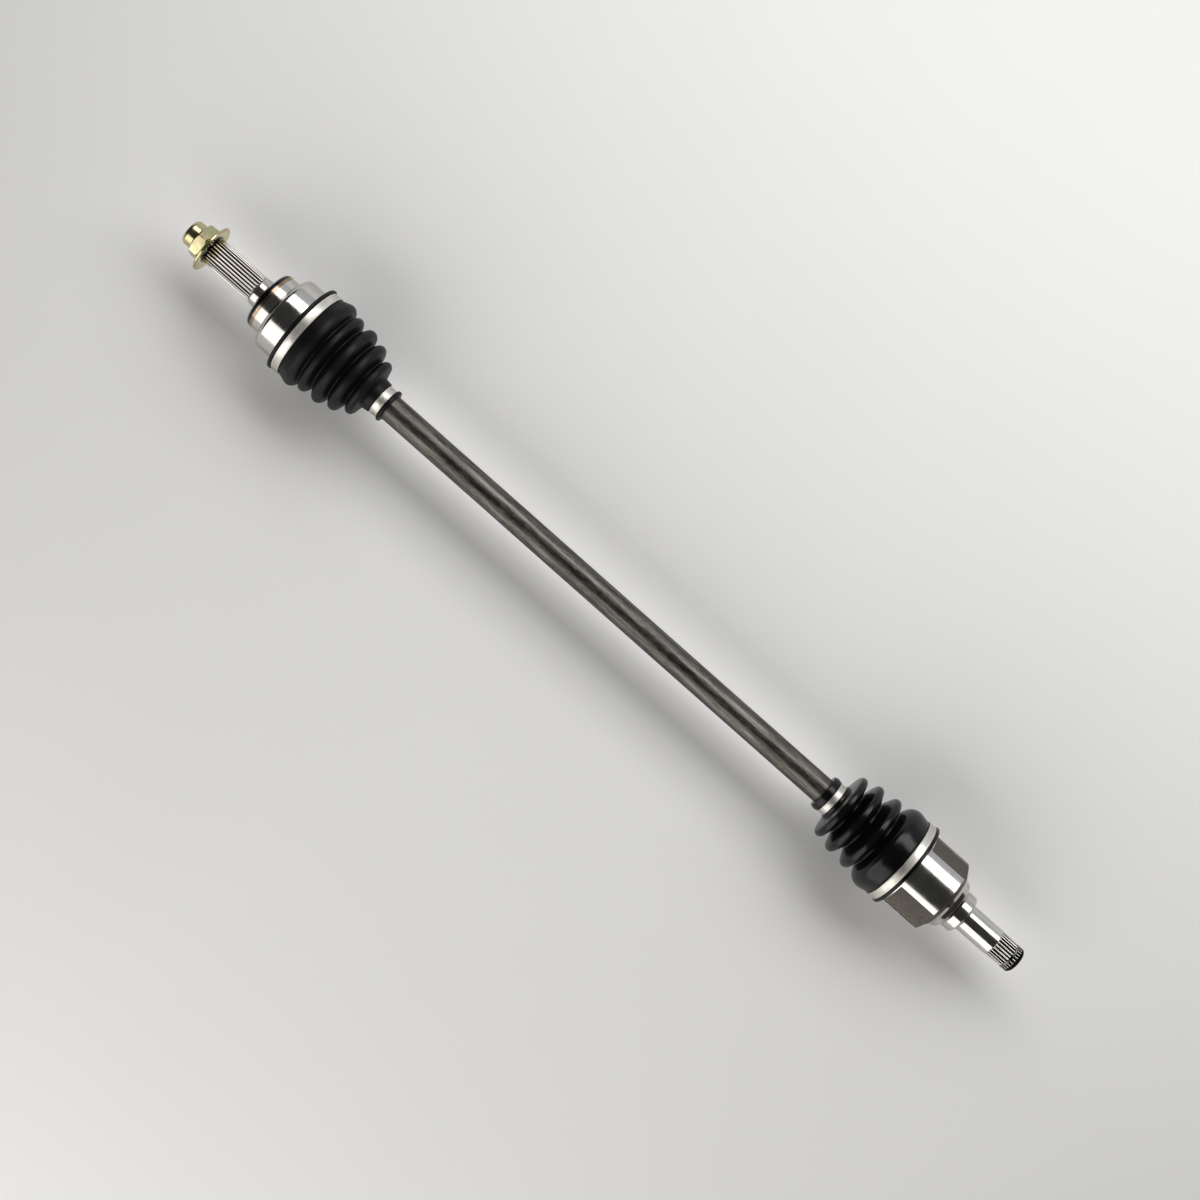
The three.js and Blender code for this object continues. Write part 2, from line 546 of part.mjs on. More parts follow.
// ---- assembly ----
const outerJoint = new THREE.Group();
outerJoint.position.x = OUTER_CENTRE;
outerJoint.add(
  piece('outer_housing', outerHousing(), finish(POLISHED_STEEL)),
  piece('outer_inner_race', innerRace(), finish(HARD_STEEL)),
  piece('outer_cage', cage(), finish(DARK_STEEL)),
  ...around(BALL_COUNT, (_, i) => piece(`outer_ball_${i + 1}`, ball(i), finish(HARD_STEEL))),
  piece('outer_race_circlip', snapRing(
    -RACE_HALF - GAP - CLIP_THICK, CLIP_THICK, CLIP_GROOVE_R + GAP, SPLINE_TIP_R + 1.6, Math.PI), finish(SPRING_STEEL)),
  piece('outer_stop_ring', stopRing(RACE_HALF + GAP), finish(SPRING_STEEL)),
  piece('outer_boot_large_end', bootHalf(OUTER_BOOT, true), rubber(0x1c1c1c, 0.55)),
  piece('outer_boot_small_end', bootHalf(OUTER_BOOT, false), rubber(0x1c1c1c, 0.55)),
  piece('outer_boot_large_clamp', clamp(OUTER_BAND, OUTER_BAND_R), finish(BAND_STEEL)),
  piece('outer_boot_small_clamp', clamp(OUTER_NECK_BAND, OUTER_NECK_BAND_R), finish(BAND_STEEL)),
  piece('axle_washer', washer(), finish(ZINC)),
  piece('axle_nut', axleNut(), finish(ZINC)),
);

const innerJoint = new THREE.Group();
innerJoint.position.x = INNER_CENTRE;
innerJoint.rotation.z = Math.PI;
innerJoint.add(
  piece('inner_housing', innerHousing(), finish(POLISHED_STEEL)),
  piece('spider', spider(), finish(HARD_STEEL)),
  ...around(ROLLER_COUNT, (_, i) => piece(`roller_${i + 1}`, roller(i), finish(HARD_STEEL))),
  ...around(ROLLER_COUNT, (_, i) => piece(`needle_bearing_${i + 1}`, needleRing(i), finish(HARD_STEEL))),
  ...around(ROLLER_COUNT, (_, i) => piece(`roller_clip_${i + 1}`, rollerClip(i), finish(SPRING_STEEL))),
  piece('spider_circlip', snapRing(
    -HUB_HALF - GAP - CLIP_THICK, CLIP_THICK, CLIP_GROOVE_R + GAP, SPLINE_TIP_R + 1.6, Math.PI), finish(SPRING_STEEL)),
  piece('spider_stop_ring', stopRing(HUB_HALF + GAP), finish(SPRING_STEEL)),
  piece('inner_boot_large_end', bootHalf(INNER_BOOT, true), rubber(0x161616, 0.35)),
  piece('inner_boot_small_end', bootHalf(INNER_BOOT, false), rubber(0x161616, 0.35)),
  piece('inner_boot_large_clamp', clamp(INNER_BAND, INNER_BAND_R), finish(BAND_STEEL)),
  piece('inner_boot_small_clamp', clamp(INNER_NECK_BAND, INNER_NECK_BAND_R), finish(BAND_STEEL)),
  piece('inner_stub_clip', snapRing(
    -INNER_REACH + STUB_CLIP_AT + GAP, CLIP_THICK, STUB_SPLINE_R - STUB_SPLINE_DEPTH - 1.65 + GAP,
    STUB_SPLINE_R, 0), finish(SPRING_STEEL)),
);

const axle = new THREE.Group();
axle.add(piece('shaft', shaft(), finish(DARK_STEEL)), outerJoint, innerJoint);

export default axle;
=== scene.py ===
"""CV axle: the looks of a car's front drive shaft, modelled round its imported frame.

Lengths in outlines are millimetres. X runs along the axle. An outline is a list of (x, radius) points,
measured from a joint's centre with x growing towards the bar, and is spun about the axle.
"""
import json
import math

import bpy
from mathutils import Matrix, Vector


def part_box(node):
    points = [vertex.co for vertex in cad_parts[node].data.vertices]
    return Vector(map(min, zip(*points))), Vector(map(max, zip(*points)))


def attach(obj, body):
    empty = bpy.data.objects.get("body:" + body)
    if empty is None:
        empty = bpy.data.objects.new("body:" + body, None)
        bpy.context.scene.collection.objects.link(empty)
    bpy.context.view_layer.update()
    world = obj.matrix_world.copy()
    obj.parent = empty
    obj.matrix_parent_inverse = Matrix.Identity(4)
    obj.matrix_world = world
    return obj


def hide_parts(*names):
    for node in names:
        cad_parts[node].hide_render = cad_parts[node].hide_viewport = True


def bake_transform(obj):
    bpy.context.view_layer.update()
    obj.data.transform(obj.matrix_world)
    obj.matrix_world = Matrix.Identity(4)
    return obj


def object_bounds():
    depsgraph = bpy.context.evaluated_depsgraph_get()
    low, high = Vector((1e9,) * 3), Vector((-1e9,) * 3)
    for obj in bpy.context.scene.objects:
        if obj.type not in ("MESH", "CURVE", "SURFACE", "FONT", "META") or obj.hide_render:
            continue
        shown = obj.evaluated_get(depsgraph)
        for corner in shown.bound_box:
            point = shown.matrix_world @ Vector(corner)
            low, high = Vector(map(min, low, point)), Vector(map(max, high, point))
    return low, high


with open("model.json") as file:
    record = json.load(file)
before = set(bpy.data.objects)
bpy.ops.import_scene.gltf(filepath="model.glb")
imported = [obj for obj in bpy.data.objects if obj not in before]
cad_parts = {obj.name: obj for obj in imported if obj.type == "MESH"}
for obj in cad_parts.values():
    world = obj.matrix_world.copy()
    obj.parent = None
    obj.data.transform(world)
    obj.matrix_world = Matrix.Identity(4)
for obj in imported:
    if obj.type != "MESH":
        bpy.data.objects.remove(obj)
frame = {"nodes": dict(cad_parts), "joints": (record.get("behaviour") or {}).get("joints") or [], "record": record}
CAD_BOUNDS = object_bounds()

bl_info = {
    "name": "CV axle",
    "version": (1, 0, 0),
    "blender": (4, 5, 0),
    "location": "3D View > Sidebar > CV axle",
    "description": "Models a car's front drive shaft, with its finishes, floor, lights and camera",
    "category": "Object",
}

MM = 0.001
JOINTS = {joint["name"]: joint for joint in frame["joints"]}
OUTER_CENTRE = JOINTS["outer_bump"]["pos_m"][0] / MM
INNER_CENTRE = JOINTS["inner_lift"]["pos_m"][0] / MM
FLOOR_Z = CAD_BOUNDS[0][2]
NUT_TURN = -9  # degrees about the axle, from a corner on top
TRIPOD_TURN = 6.5  # degrees about the axle, from a lobe of the cup on top
FLOOR_GAP = 0.4  # under the lowest piece, so that its faces and the floor's don't meet
CAMERA_HEIGHT = 1.86  # metres above the axle
CAMERA_ROLL = 41.55  # degrees: the axle lies across the frame from corner to corner
CAMERA_LENS = 64.7


def radius_of(node):
    """A round node's outer radius, in millimetres."""
    low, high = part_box(node)
    return (high[1] - low[1]) / 2 / MM


def reach_of(node, centre, side):
    """A node's two ends, as distances from a joint's centre that grow towards the bar."""
    low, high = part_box(node)
    return sorted(((low[0] / MM - centre) * side, (high[0] / MM - centre) * side))


# ---------------------------------------------------------------- sizes and colours that a user would change

def length(name, description, default):
    return bpy.props.FloatProperty(
        name=name, description=description, default=default * MM, unit="LENGTH", precision=5)


def colour(name, description, default):
    return bpy.props.FloatVectorProperty(
        name=name, description=description, default=default, subtype="COLOR", size=3, min=0, max=1)


class AxleSizes(bpy.types.PropertyGroup):
    bar_radius: length("Bar radius", "Radius of the bar between the boots", 12.1)
    bell_radius: length("Bell radius", "Outside of the wheel-end joint's bell", radius_of("outer_housing"))
    cup_radius: length("Cup radius", "Outside of the gearbox-end joint's cup", radius_of("inner_housing"))
    boot_wall: length("Boot wall", "Thickness of the rubber", 2.0)
    tooth_depth: length("Spline depth", "Depth of the teeth on both stubs", 1.1)
    thread_pitch: length("Thread pitch", "Distance between the nut's threads", 1.5)
    band_thickness: length("Clamp thickness", "Thickness of the clamps' steel strip", 1.0)
    sides: bpy.props.IntProperty(
        name="Sides", description="Flats round a turned piece", default=128, min=32, max=256)


class AxleColours(bpy.types.PropertyGroup):
    machined: colour("Machined steel", "Turned and ground steel of both housings", (0.60, 0.585, 0.55))
    forged: colour("Forged bar", "Dark scale of the bar", (0.085, 0.082, 0.076))
    hardened: colour("Hardened steel", "Balls, races and rollers", (0.52, 0.52, 0.51))
    spring: colour("Spring steel", "Clips and rings", (0.16, 0.155, 0.15))
    outer_rubber: colour("Wheel-end boot", "Satin rubber", (0.0062, 0.0062, 0.0066))
    inner_rubber: colour("Gearbox-end boot", "Glossier rubber", (0.0042, 0.0042, 0.0045))
    strip: colour("Clamp strip", "Satin steel of the clamps", (0.72, 0.70, 0.655))
    zinc: colour("Zinc plate", "Yellow plating of the nut and washer", (0.60, 0.53, 0.32))
    floor: colour("Floor", "Pale floor", (0.86, 0.86, 0.86))


# ---------------------------------------------------------------- materials

class Nodes:
    """A material's node tree, with short ways to add the nodes that the finishes use."""

    def __init__(self, name, base, metallic, roughness):
        self.material = bpy.data.materials.new(name)
        self.material.use_nodes = True
        self.tree = self.material.node_tree
        self.shader = self.tree.nodes["Principled BSDF"]
        self.shader.inputs["Base Color"].default_value = (*base, 1)
        self.shader.inputs["Metallic"].default_value = metallic
        self.shader.inputs["Roughness"].default_value = roughness
        self.place = self.tree.nodes.new("ShaderNodeTexCoord").outputs["Object"]

    def link(self, a, b):
        self.tree.links.new(a, b)

    def stretched(self, scale):
        """The object's own coordinates, stretched."""
        node = self.tree.nodes.new("ShaderNodeMapping")
        node.inputs["Scale"].default_value = scale
        self.link(self.place, node.inputs["Vector"])
        return node.outputs["Vector"]

    def noise(self, scale, detail=4.0, rough=0.55, distortion=0.0):
        node = self.tree.nodes.new("ShaderNodeTexNoise")
        node.inputs["Scale"].default_value = 1.0
        node.inputs["Detail"].default_value = detail
        node.inputs["Roughness"].default_value = rough
        node.inputs["Distortion"].default_value = distortion
        self.link(self.stretched(scale), node.inputs["Vector"])
        return node.outputs["Fac"]

    def mix(self, share, a, b):
        """Colours a and b, sockets or values, mixed by a share."""
        node = self.tree.nodes.new("ShaderNodeMix")
        node.data_type = "RGBA"
        for name, value in (("Factor", share), ("A", a), ("B", b)):
            kind_of = "NodeSocketFloat" if name == "Factor" else "NodeSocketColor"
            socket = next(s for s in node.inputs if s.name == name and s.bl_idname.startswith(kind_of))
            if isinstance(value, bpy.types.NodeSocket):
                self.link(value, socket)
            else:
                socket.default_value = value if name == "Factor" else (*value, 1)
        return next(s for s in node.outputs if s.bl_idname.startswith("NodeSocketColor"))

    def spread(self, value, low, high, start=0.0, end=1.0):
        """A value from start to end, spread from low to high."""
        node = self.tree.nodes.new("ShaderNodeMapRange")
        for name, number in (("From Min", start), ("From Max", end), ("To Min", low), ("To Max", high)):
            node.inputs[name].default_value = number
        self.link(value, node.inputs["Value"])
        return node.outputs["Result"]

    def bump(self, height, strength, distance):
        """Adds a relief to the shader's normal, on top of any that it has."""
        node = self.tree.nodes.new("ShaderNodeBump")
        node.inputs["Strength"].default_value = strength
        node.inputs["Distance"].default_value = distance
        self.link(height, node.inputs["Height"])
        links = self.shader.inputs["Normal"].links
        if links:
            self.link(links[0].from_socket, node.inputs["Normal"])
        self.link(node.outputs["Normal"], self.shader.inputs["Normal"])

    def maths(self, operation, a, b):
        node = self.tree.nodes.new("ShaderNodeMath")
        node.operation = operation
        for socket, value in zip(node.inputs, (a, b)):
            if isinstance(value, bpy.types.NodeSocket):
                self.link(value, socket)
            else:
                socket.default_value = value
        return node.outputs["Value"]

    def maximum(self, a, b):
        return self.maths("MAXIMUM", a, b)

    def along(self):
        """The three coordinates, in metres."""
        node = self.tree.nodes.new("ShaderNodeSeparateXYZ")
        self.link(self.place, node.inputs["Vector"])
        return [node.outputs[axis] for axis in "XYZ"]

    def hollow(self, x0, x1, radius):
        """1 between two places along the axle wherever the surface is under a radius, in millimetres."""
        x, y, z = self.along()
        squares = self.maths("ADD", self.maths("MULTIPLY", y, y), self.maths("MULTIPLY", z, z))
        from_axis = self.maths("SQRT", squares, 0)
        under = self.spread(from_axis, 1.0, 0.0, (radius - 0.25) * MM, (radius + 0.05) * MM)
        middle, half = (x0 + x1) / 2 * MM, abs(x1 - x0) / 2 * MM
        off = self.maths("ABSOLUTE", self.maths("SUBTRACT", x, middle), 0)
        return self.maths("MULTIPLY", under, self.spread(off, 1.0, 0.0, half - 0.3 * MM, half))

    def edge_wear(self):
        """1 on sharp convex edges and 0 elsewhere."""
        node = self.tree.nodes.new("ShaderNodeNewGeometry")
        return self.spread(node.outputs["Pointiness"], 0.0, 1.0, 0.505, 0.56)


def paint_metal(name, base, rough, marks=1.0, hollows=()):
    """Turned steel: fine rings from the lathe, faint stains and brighter edges.

    Hollows carry painted shade (dark spline roots), oil, forging scale and a heat tint. Each is (x0, x1, radius,
    colour, roughness): between two places along the axle, whatever is under a radius.
    """
    n = Nodes(name, base, 1.0, rough)
    stains = n.noise((40, 40, 40), detail=6, rough=0.65, distortion=0.6)
    toned = n.mix(n.spread(stains, 0.0, 0.48, 0.5, 0.8), base, tuple(c * 0.55 for c in base))
    toned = n.mix(n.edge_wear(), toned, tuple(min(1, c * 1.18 + 0.04) for c in base))
    film = n.noise((90, 90, 90), detail=5, rough=0.6)
    shine = n.spread(film, rough * 0.7, rough * 1.45, 0.3, 0.7)
    scale = n.noise((420, 420, 420), detail=6, rough=0.7)
    for x0, x1, radius, dark, rough_there in hollows:
        share = n.hollow(x0, x1, radius)
        darker, lighter = tuple(c * 0.8 for c in dark), tuple(c * 1.3 for c in dark)
        mottled = n.mix(n.spread(scale, 0.0, 1.0, 0.35, 0.7), darker, lighter)
        toned = n.mix(share, toned, mottled)
        shine = n.maximum(shine, n.spread(share, 0.0, rough_there))
    n.link(toned, n.shader.inputs["Base Color"])
    n.link(shine, n.shader.inputs["Roughness"])
    n.bump(n.noise((2600, 12, 12), detail=3, rough=0.6), 0.06 * marks, 0.00012)
    n.bump(n.noise((300, 300, 300), detail=4), 0.02, 0.0002)
    n.shader.inputs["Anisotropic"].default_value = 0.25
    return n.material


def paint_forged(name, base):
    """Forged and oiled bar: dark scale, lighter streaks along its length, and small pits."""
    n = Nodes(name, base, 1.0, 0.36)
    streaks = n.noise((22, 300, 300), detail=7, rough=0.7, distortion=0.5)
    patches = n.noise((110, 300, 300), detail=8, rough=0.75, distortion=1.0)
    light = tuple(min(1, c * 3.4) for c in base)
    warm = (base[0] * 2.6, base[1] * 2.5, base[2] * 2.3)
    toned = n.mix(n.spread(streaks, 0.0, 0.75, 0.45, 0.72), base, light)
    toned = n.mix(n.spread(patches, 0.0, 0.8, 0.48, 0.7), toned, warm)
    worn = tuple(min(1, c * 5) for c in base)
    n.link(n.mix(n.edge_wear(), toned, worn), n.shader.inputs["Base Color"])
    n.link(n.spread(patches, 0.26, 0.52, 0.3, 0.7), n.shader.inputs["Roughness"])
    n.bump(n.noise((520, 700, 700), detail=5, rough=0.6), 0.3, 0.0005)
    n.bump(streaks, 0.3, 0.0006)
    return n.material


def paint_rubber(name, base, rough, sheen):
    """Moulded rubber: a fine grain, faint bloom on the raised folds, and duller patches."""
    n = Nodes(name, base, 0.0, rough)
    cloud = n.noise((32, 60, 60), detail=6, rough=0.6, distortion=0.5)
    bloom = tuple(c * 1.9 + 0.001 for c in base)
    toned = n.mix(n.spread(cloud, 0.0, 0.7, 0.42, 0.75), base, bloom)
    rubbed = tuple(c * 2.0 + 0.002 for c in base)
    n.link(n.mix(n.edge_wear(), toned, rubbed), n.shader.inputs["Base Color"])
    n.link(n.spread(n.noise((70, 90, 90), detail=6, rough=0.65), rough * 0.8, rough * 1.3, 0.3, 0.7),
           n.shader.inputs["Roughness"])
    n.bump(n.noise((1500, 1500, 1500), detail=3), 0.10, 0.00012)
    n.shader.inputs["Specular IOR Level"].default_value = sheen
    return n.material


def paint_strip(name, base, rough):
    """Rolled strip: fine lines round the band and brushed patches."""
    n = Nodes(name, base, 1.0, rough)
    patches = n.noise((120, 70, 70), detail=5, rough=0.6)
    dull = tuple(c * 0.72 for c in base)
    toned = n.mix(n.spread(patches, 0.0, 0.6, 0.42, 0.75), base, dull)
    bright = tuple(min(1, c * 1.25) for c in base)
    n.link(n.mix(n.edge_wear(), toned, bright), n.shader.inputs["Base Color"])
    n.link(n.spread(patches, rough * 0.8, rough * 1.3, 0.3, 0.7), n.shader.inputs["Roughness"])
    n.bump(n.noise((3200, 40, 40), detail=3), 0.14, 0.00015)
    n.shader.inputs["Anisotropic"].default_value = 0.4
    return n.material


def paint_zinc(name, base, rough):
    """Yellow zinc plate: faint green and rose drifts over a bright satin metal, and painted shade darkening the
    middle of the washer's face.
    """
    n = Nodes(name, base, 1.0, rough)
    drift = n.noise((60, 70, 70), detail=4, rough=0.5, distortion=1.2)
    green = (base[0] * 0.86, base[1] * 1.02, base[2] * 0.95)
    rose = (base[0] * 1.08, base[1] * 0.92, base[2] * 1.02)
    toned = n.mix(n.spread(drift, 0.0, 0.8, 0.42, 0.66), base, green)
    toned = n.mix(n.spread(n.noise((110, 90, 90), detail=3), 0.0, 0.6, 0.52, 0.75), toned, rose)
    worn = tuple(min(1, c * 1.2 + 0.05) for c in base)
    toned = n.mix(n.edge_wear(), toned, worn)
    # Painted shade: the middle of the washer's face is turned near-black.
    n.link(n.mix(n.hollow(*WASHER_PAINTED_SHADE), toned, PAINTED_SHADE_AND_OIL), n.shader.inputs["Base Color"])
    n.link(n.spread(n.noise((200, 200, 200), detail=5), rough * 0.75, rough * 1.4, 0.3, 0.7),
           n.shader.inputs["Roughness"])
    n.bump(n.noise((700, 260, 260), detail=4), 0.08, 0.0002)
    return n.material


# Near-black: painted shade in the spline roots and in the middle of the washer's face, and oil on the end of the
# gearbox stub.
PAINTED_SHADE_AND_OIL = (0.012, 0.011, 0.011)
SCALE = (0.15, 0.137, 0.12)
BLUED = (0.05, 0.052, 0.065)
STRAW = (0.36, 0.27, 0.19)
HOLLOWS = (
    # The first two rows turn the roots between the spline teeth near-black: painted shade. The third row is oil on
    # the stub's end.
    (OUTER_CENTRE - 101, OUTER_CENTRE - 50, 12.55, PAINTED_SHADE_AND_OIL, 0.5),
    (INNER_CENTRE + 95, INNER_CENTRE + 116.4, 12.1, PAINTED_SHADE_AND_OIL, 0.5),
    (INNER_CENTRE + 116.2, INNER_CENTRE + 125, 60, PAINTED_SHADE_AND_OIL, 0.35),
    (INNER_CENTRE - 3.6, INNER_CENTRE + 38.5, 35.6, SCALE, 0.42),
    (OUTER_CENTRE - 39.5, OUTER_CENTRE - 34.4, 60, BLUED, 0.2),
    (OUTER_CENTRE - 34.7, OUTER_CENTRE - 31.6, 60, STRAW, 0.2),
)
# The part of the washer's face that is darkened near-black: painted shade.
WASHER_PAINTED_SHADE = (OUTER_CENTRE - 103.5, OUTER_CENTRE - 90, 14.6)
FINISHES = {}


def finish_named(slot):
    """The material of one of the record's slots, made once."""
    if slot not in FINISHES:
        tones = bpy.context.scene.axle_colours
        makers = {
            "machined_steel": lambda: paint_metal(
                "machined_steel", tuple(tones.machined), 0.14, 1.0, HOLLOWS),
            "forged_bar": lambda: paint_forged("forged_bar", tuple(tones.forged)),
            "hardened_steel": lambda: paint_metal("hardened_steel", tuple(tones.hardened), 0.14, 0.5),
            "spring_steel": lambda: paint_metal("spring_steel", tuple(tones.spring), 0.35, 1.5),
            "outer_boot_rubber": lambda: paint_rubber(
                "outer_boot_rubber", tuple(tones.outer_rubber), 0.4, 0.3),
            "inner_boot_rubber": lambda: paint_rubber(
                "inner_boot_rubber", tuple(tones.inner_rubber), 0.2, 0.42),
            "clamp_band": lambda: paint_strip("clamp_band", tuple(tones.strip), 0.4),
            "zinc_plate": lambda: paint_zinc("zinc_plate", tuple(tones.zinc), 0.2),
        }
        FINISHES[slot] = makers[slot]()
    return FINISHES[slot]


def give_finish(piece, slot):
    piece.data.materials.clear()
    piece.data.materials.append(finish_named(slot))


# ---------------------------------------------------------------- outlines

def point(angle, radius=1.0):
    return Vector((radius * math.cos(angle), radius * math.sin(angle)))


def rounded(corners, step=9):
    """An outline of (x, r, fillet) corners, each turned into an arc of that radius."""
    line = []
    for i, (x, r, fillet) in enumerate(corners):
        here = Vector((x, r))
        if not fillet or i in (0, len(corners) - 1):
            line.append(here)
            continue
        back = (Vector(corners[i - 1][:2]) - here).normalized()
        ahead = (Vector(corners[i + 1][:2]) - here).normalized()
        half = back.angle(ahead) / 2
        centre = here + (back + ahead).normalized() * fillet / math.sin(half)
        first = here + back * fillet / math.tan(half) - centre
        sweep = math.pi - 2 * half
        turn = math.copysign(1, back.x * ahead.y - back.y * ahead.x)
        count = max(2, round(math.degrees(sweep) / step))
        start = math.atan2(first.y, first.x)
        line += [centre + point(start - turn * sweep * k / count, fillet) for k in range(count + 1)]
    return line


def rolling(stops, step=6):
    """An outline over crests and under valleys, each (kind, x, r, fillet), with straight flanks between."""
    centres = []
    for kind, x, r, fillet in stops:
        signed = {"crest": fillet, "valley": -fillet, "point": 0.0}[kind]
        centres.append((Vector((x, r - signed)), signed))
    normals = []
    for (a, bend_a), (b, bend_b) in zip(centres, centres[1:]):
        across = b - a
        lean = math.acos(max(-1.0, min(1.0, (bend_a - bend_b) / across.length)))
        normals.append(math.atan2(across.y, across.x) + lean)
    line = []
    for i, (centre, bend) in enumerate(centres):
        enter = normals[max(i - 1, 0)]
        leave = normals[min(i, len(normals) - 1)]
        count = max(1, round(abs(math.degrees(leave - enter)) / step)) if bend else 0
        for k in range(count + 1):
            line.append(centre + point(enter + (leave - enter) * k / max(count, 1), bend))
    return line


def finely(line, longest):
    """The outline with its long straight stretches divided."""
    fine = [line[0]]
    for a, b in zip(line, line[1:]):
        count = max(1, math.ceil((b - a).length / longest))
        fine += [a.lerp(b, (k + 1) / count) for k in range(count)]
    return fine


# ---------------------------------------------------------------- modelling by hand

def deselect():
    if bpy.context.object and bpy.context.object.mode != "OBJECT":
        bpy.ops.object.mode_set(mode="OBJECT")
    bpy.ops.object.select_all(action="DESELECT")


def pick(piece):
    deselect()
    piece.select_set(True)
    bpy.context.view_layer.objects.active = piece


def named(name):
    """The active object, named, with its place kept in its mesh."""
    piece = bpy.context.object
    piece.name = name
    piece.data.name = name
    bpy.ops.object.transform_apply(location=True, rotation=True, scale=True)
    return piece


def select_where(piece, test):
    """Selects, in edit mode, the vertices whose place passes a test."""
    bpy.ops.object.mode_set(mode="EDIT")
    bpy.ops.mesh.select_mode(type="VERT")
    bpy.ops.mesh.select_all(action="DESELECT")
    bpy.ops.object.mode_set(mode="OBJECT")
    for vertex in piece.data.vertices:
        vertex.select = test(vertex.co)
    bpy.ops.object.mode_set(mode="EDIT")


def spun(name, outline, centre, side, sides, loop):
    """Draws an outline point by point and spins it about the axle. A loop closes on itself."""
    places = [(centre + side * p[0], p[1]) for p in outline]
    if loop:
        places.append(places[0])
    deselect()
    x, r = places[0]
    bpy.ops.mesh.primitive_plane_add(size=MM, location=(x * MM, 0, r * MM))
    piece = named(name)
    bpy.ops.object.mode_set(mode="EDIT")
    bpy.ops.mesh.merge(type="CENTER")
    for (x0, r0), (x1, r1) in zip(places, places[1:]):
        bpy.ops.mesh.extrude_vertices_move(
            TRANSFORM_OT_translate={"value": ((x1 - x0) * MM, 0, (r1 - r0) * MM)})
    bpy.ops.mesh.select_all(action="SELECT")
    bpy.ops.mesh.spin(steps=sides, angle=2 * math.pi, center=(0, 0, 0), axis=(1, 0, 0))
    tidy_mesh()
    return piece


def tidy_mesh():
    """Closes seams and poles and turns the faces outwards. Ends in object mode."""
    bpy.ops.mesh.select_all(action="SELECT")
    bpy.ops.mesh.remove_doubles(threshold=0.002 * MM)
    bpy.ops.mesh.normals_make_consistent(inside=False)
    bpy.ops.object.mode_set(mode="OBJECT")


def turn_about_axle(piece, degrees):
    """Turns a piece from the top towards +Y."""
    bpy.ops.object.mode_set(mode="EDIT")
    bpy.ops.mesh.select_all(action="SELECT")
    bpy.ops.transform.rotate(value=math.radians(degrees), orient_axis="X", center_override=(0, 0, 0))
    bpy.ops.object.mode_set(mode="OBJECT")


def smooth(piece, degrees=32):
    pick(piece)
    bpy.ops.object.shade_smooth_by_angle(angle=math.radians(degrees))


def cut_teeth(piece, x0, x1, teeth, tip, depth):
    """Presses spline teeth with rounded crests into a spun piece that has eight sides for each tooth."""
    low, high = sorted((x0 * MM, x1 * MM))
    for eighths, share in (((1, 7), 0.06), ((2, 6), 0.4), ((3, 4, 5), 1.0)):

        def in_row(co):
            row = round(math.atan2(co.y, co.z) / (2 * math.pi) * teeth * 8) % 8
            return row in eighths and low <= co.x <= high and math.hypot(co.y, co.z) > (tip - depth) * MM

        select_where(piece, in_row)
        ratio = (tip - depth * share) / tip
        bpy.ops.transform.resize(value=(1, ratio, ratio), center_override=(0, 0, 0))
        bpy.ops.object.mode_set(mode="OBJECT")


def combine(piece, other, operation):
    """Joins another piece to this one, or cuts it out, and removes the other."""
    pick(piece)
    modifier = piece.modifiers.new("combine", "BOOLEAN")
    modifier.operation = operation
    modifier.object = other
    modifier.solver = "EXACT"
    bpy.ops.object.modifier_apply(modifier=modifier.name)
    bpy.data.objects.remove(other, do_unlink=True)


def join(piece, *others):
    """Makes several closed shells one piece."""
    deselect()
    for other in others:
        other.select_set(True)
    piece.select_set(True)
    bpy.context.view_layer.objects.active = piece
    bpy.ops.object.join()


def turned_line(x0, x1, core, crest, pitch):
    """A thread's outline: a sawtooth with flat crests and roots."""
    line = []
    count = int(abs(x1 - x0) / pitch)
    step = (x1 - x0) / count
    for i in range(count):
        start = x0 + i * step
        for share, r in ((0.0, core), (0.42, crest), (0.56, crest), (0.98, core)):
            line.append((start + share * step, r, 0))
    return line


# ---------------------------------------------------------------- pieces

class PieceOperator:
    """What every piece's operator shares."""

    bl_options = {"REGISTER", "UNDO"}

    @property
    def sizes(self):
        return bpy.context.scene.axle_sizes

    def mm(self, name):
        return getattr(self.sizes, name) / MM


